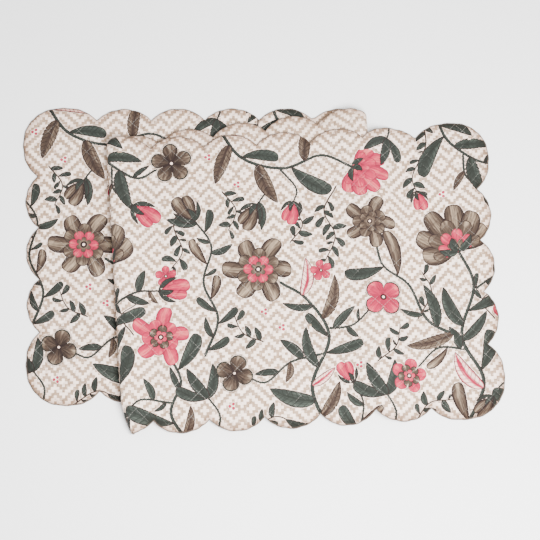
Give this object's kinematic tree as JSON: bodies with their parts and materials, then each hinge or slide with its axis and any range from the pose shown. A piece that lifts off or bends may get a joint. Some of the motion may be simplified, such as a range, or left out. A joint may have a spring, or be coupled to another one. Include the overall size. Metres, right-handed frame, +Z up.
{
  "type": "quilted table runner",
  "caption": "Quilted cotton table runner with a scalloped edge, folded back and forth into three layers and laid flat.",
  "frame": {"origin": "on the table under the middle of the folded runner's box", "axes": "+X along the runner's length towards the free end of its top layer, +Y across it, +Z up from the table"},
  "size_m": [0.5688, 0.4026, 0.0208],
  "materials": {
    "printed_cotton": "matte printed plain-weave cotton, hand-washed and quilted"
  },
  "bodies": {
    "root": {"quilted_runner": "printed_cotton"}
  },
  "joints": []
}
